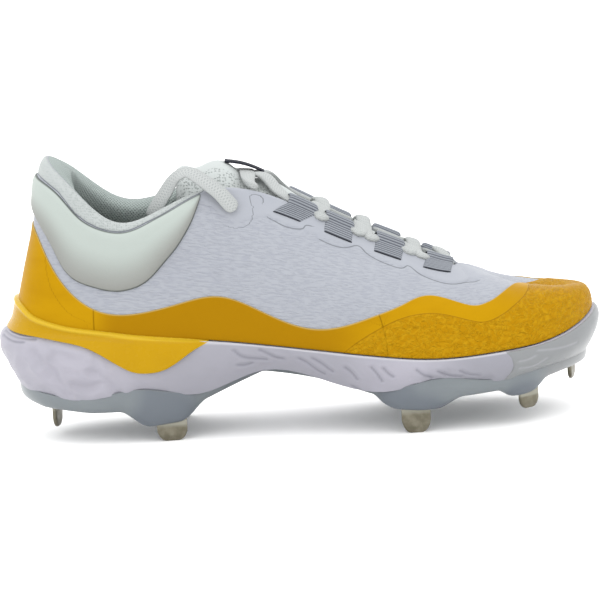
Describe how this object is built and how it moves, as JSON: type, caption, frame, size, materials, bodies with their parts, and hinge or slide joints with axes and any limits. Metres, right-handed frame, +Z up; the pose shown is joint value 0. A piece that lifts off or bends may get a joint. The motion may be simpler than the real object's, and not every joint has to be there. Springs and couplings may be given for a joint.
{
  "type": "baseball cleat",
  "caption": "Low baseball cleat for the right foot: knit upper with a golden lower layer, webbing lace loops, foam midsole, heel clip, and a plate with metal spikes.",
  "frame": {"origin": "on the ground under the middle of the shoe's bounding box, where its lowest spikes stand", "axes": "+X from the heel to the toe, +Y towards the inner (medial) side, +Z up"},
  "size_m": [0.3003, 0.105, 0.141],
  "materials": {
    "white_knit": "matte knit with fine ripples",
    "golden_film": "satin printed film, wrinkled in relief along the sole",
    "yellow_clip": "glossy moulded plastic",
    "pale_panel": "smooth, soft backed cloth",
    "white_foam": "satin moulded foam",
    "icy_plate": "satin translucent plastic",
    "spike_steel": "brushed, slightly soiled",
    "tongue_mesh": "open mesh over padding",
    "dark_strip": "close woven strip",
    "grey_webbing": "ribbed webbing",
    "white_lace": "soft woven lace",
    "insole_cloth": "brushed knit over foam"
  },
  "bodies": {
    "root": {"upper": "white_knit", "heel_counter": "golden_film", "band_lateral": "golden_film", "band_medial": "golden_film", "toe_guard": "golden_film", "ankle_panel": "pale_panel", "midsole": "white_foam", "insole": "insole_cloth", "outsole": "icy_plate", "heel_clip": "yellow_clip", "tongue": "tongue_mesh", "tongue_tab": "dark_strip", "lace_crossings": "white_lace", "lace_end": "white_lace", "spike_heel_lateral": "spike_steel", "spike_heel_medial": "spike_steel", "spike_heel_rear": "spike_steel", "spike_ball_lateral": "spike_steel", "spike_ball_medial": "spike_steel", "spike_fore_lateral": "spike_steel", "spike_fore_medial": "spike_steel", "spike_toe": "spike_steel", "lace_loop_lateral_1": "grey_webbing", "lace_loop_lateral_2": "grey_webbing", "lace_loop_lateral_3": "grey_webbing", "lace_loop_lateral_4": "grey_webbing", "lace_loop_medial_1": "grey_webbing", "lace_loop_medial_2": "grey_webbing", "lace_loop_medial_3": "grey_webbing", "lace_loop_medial_4": "grey_webbing"}
  },
  "joints": []
}
